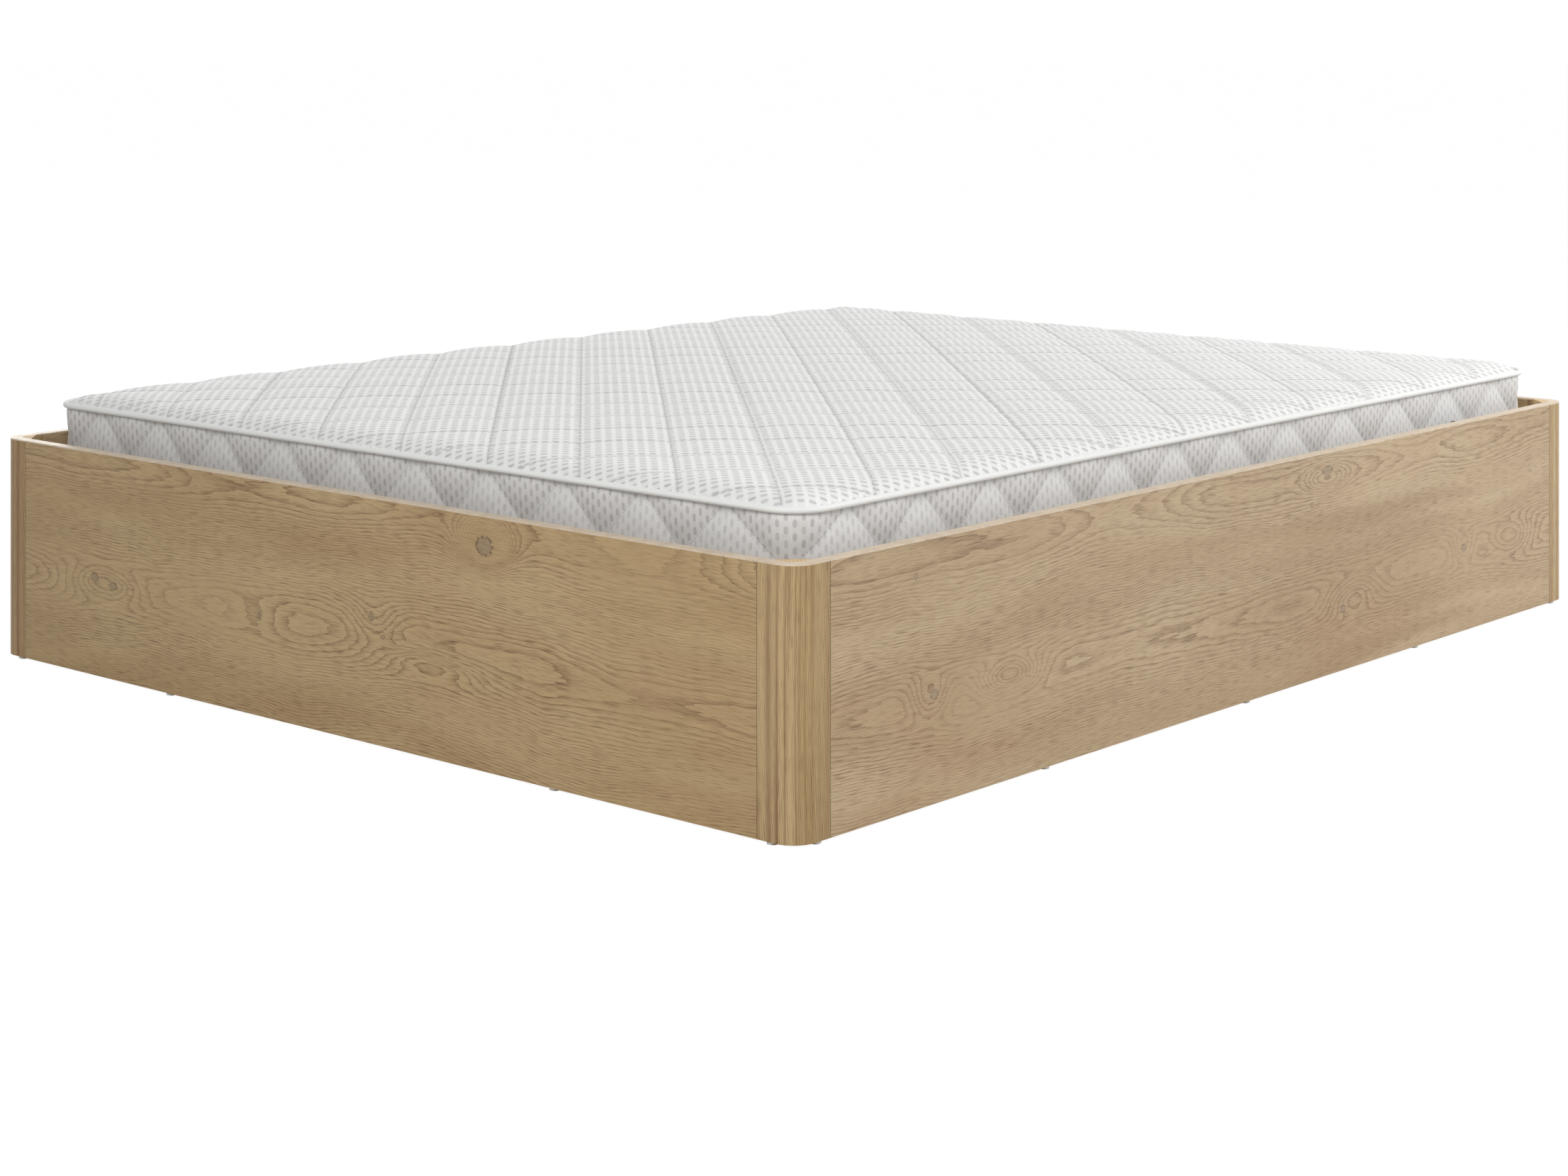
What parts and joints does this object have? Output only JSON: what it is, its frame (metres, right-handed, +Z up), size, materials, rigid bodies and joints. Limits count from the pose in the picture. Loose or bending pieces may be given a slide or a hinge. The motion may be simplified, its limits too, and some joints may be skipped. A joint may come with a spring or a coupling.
{
  "type": "storage bed",
  "caption": "Storage bed with an oak laminate box and a quilted mattress on a slatted steel frame that lifts at the foot on gas struts.",
  "frame": {"origin": "on the floor, under the middle of the box", "axes": "+X to the right side of the bed seen from its foot, +Y from the foot to the head, +Z up"},
  "size_m": [1.69, 2.07, 0.429],
  "materials": {
    "oak_laminate": "oak laminate, satin, grain along each board",
    "pale_edging": "pale edge band, satin",
    "bare_wood": "bare softwood, matt",
    "white_board": "white faced board, matt",
    "slat_wood": "lacquered beech laminate, satin",
    "black_plastic": "moulded, matt",
    "white_plastic": "moulded nylon, matt",
    "black_rubber": "matt",
    "black_paint": "gloss black enamel",
    "polished_rod": "polished",
    "zinc_steel": "zinc plated",
    "ticking": "white quilted ticking with fine grey dashes",
    "white_piping": "white woven piping",
    "webbing": "black woven webbing",
    "grey_paint": "dark grey powder coat"
  },
  "bodies": {
    "box": {"foot_panel": "oak_laminate", "head_panel": "oak_laminate", "side_panel_left": "oak_laminate", "side_panel_right": "oak_laminate", "corner_post_foot_left": "oak_laminate", "corner_post_foot_right": "oak_laminate", "corner_post_head_left": "oak_laminate", "corner_post_head_right": "oak_laminate", "corner_blocks": "bare_wood", "rim_edging": "pale_edging", "cam_locks": "zinc_steel", "cam_bolts": "zinc_steel", "block_screws": "zinc_steel", "glides": "white_plastic", "floor_cleats": "bare_wood", "floor_joists": "bare_wood", "floor_board_1": "white_board", "floor_board_2": "white_board", "floor_board_3": "white_board", "floor_board_4": "white_board", "hinge_plate_left": "grey_paint", "hinge_plate_right": "grey_paint", "hinge_pins": "zinc_steel", "strut_bracket_left": "grey_paint", "strut_bracket_right": "grey_paint", "rest_brackets": "grey_paint", "rest_buffers": "black_rubber", "plate_screws": "zinc_steel"},
    "lift_frame": {"side_rail_left": "grey_paint", "side_rail_right": "grey_paint", "head_rail": "grey_paint", "foot_rail": "grey_paint", "centre_rail": "grey_paint", "cross_rails": "grey_paint", "rail_plugs": "black_plastic", "lift_arm_left": "grey_paint", "lift_arm_right": "grey_paint", "strut_stud_left": "zinc_steel", "strut_stud_right": "zinc_steel", "slat_holders_left": "black_plastic", "slat_holders_centre": "black_plastic", "slat_holders_right": "black_plastic", "slats_left": "slat_wood", "slats_right": "slat_wood", "mattress_stops": "grey_paint", "pull_strap": "webbing", "mattress": "ticking", "top_piping": "white_piping", "bottom_piping": "white_piping"},
    "strut_tube_left": {"strut_foot_left": "black_plastic", "strut_tube_left": "black_paint", "strut_cap_left": "polished_rod"},
    "strut_rod_left": {"strut_rod_left": "polished_rod", "strut_eye_left": "black_plastic"},
    "strut_tube_right": {"strut_foot_right": "black_plastic", "strut_tube_right": "black_paint", "strut_cap_right": "polished_rod"},
    "strut_rod_right": {"strut_rod_right": "polished_rod", "strut_eye_right": "black_plastic"}
  },
  "joints": [
    {"name": "lift", "type": "hinge", "parent": "box", "child": "lift_frame", "pos_m": [0, 0.702, 0.33], "axis": [-1, 0, 0], "range_deg": [0, 35]},
    {"name": "strut_left_lower", "type": "hinge", "parent": "box", "child": "strut_tube_left", "pos_m": [-0.8145, 0.87376, 0.06], "axis": [-1, 0, 0], "range_deg": [0, 17.5]},
    {"name": "strut_left_upper", "type": "hinge", "parent": "lift_frame", "child": "strut_rod_left", "pos_m": [-0.8145, 0.41122, 0.1964], "axis": [-1, 0, 0], "range_deg": [-17.5, 0]},
    {"name": "strut_right_lower", "type": "hinge", "parent": "box", "child": "strut_tube_right", "pos_m": [0.8145, 0.87376, 0.06], "axis": [-1, 0, 0], "range_deg": [0, 17.5]},
    {"name": "strut_right_upper", "type": "hinge", "parent": "lift_frame", "child": "strut_rod_right", "pos_m": [0.8145, 0.41122, 0.1964], "axis": [-1, 0, 0], "range_deg": [-17.5, 0]}
  ],
  "couplings": [
    {"joint": "strut_left_lower", "follows": "lift", "ratio": 0.5},
    {"joint": "strut_left_upper", "follows": "lift", "ratio": -0.5},
    {"joint": "strut_right_lower", "follows": "lift", "ratio": 0.5},
    {"joint": "strut_right_upper", "follows": "lift", "ratio": -0.5}
  ]
}
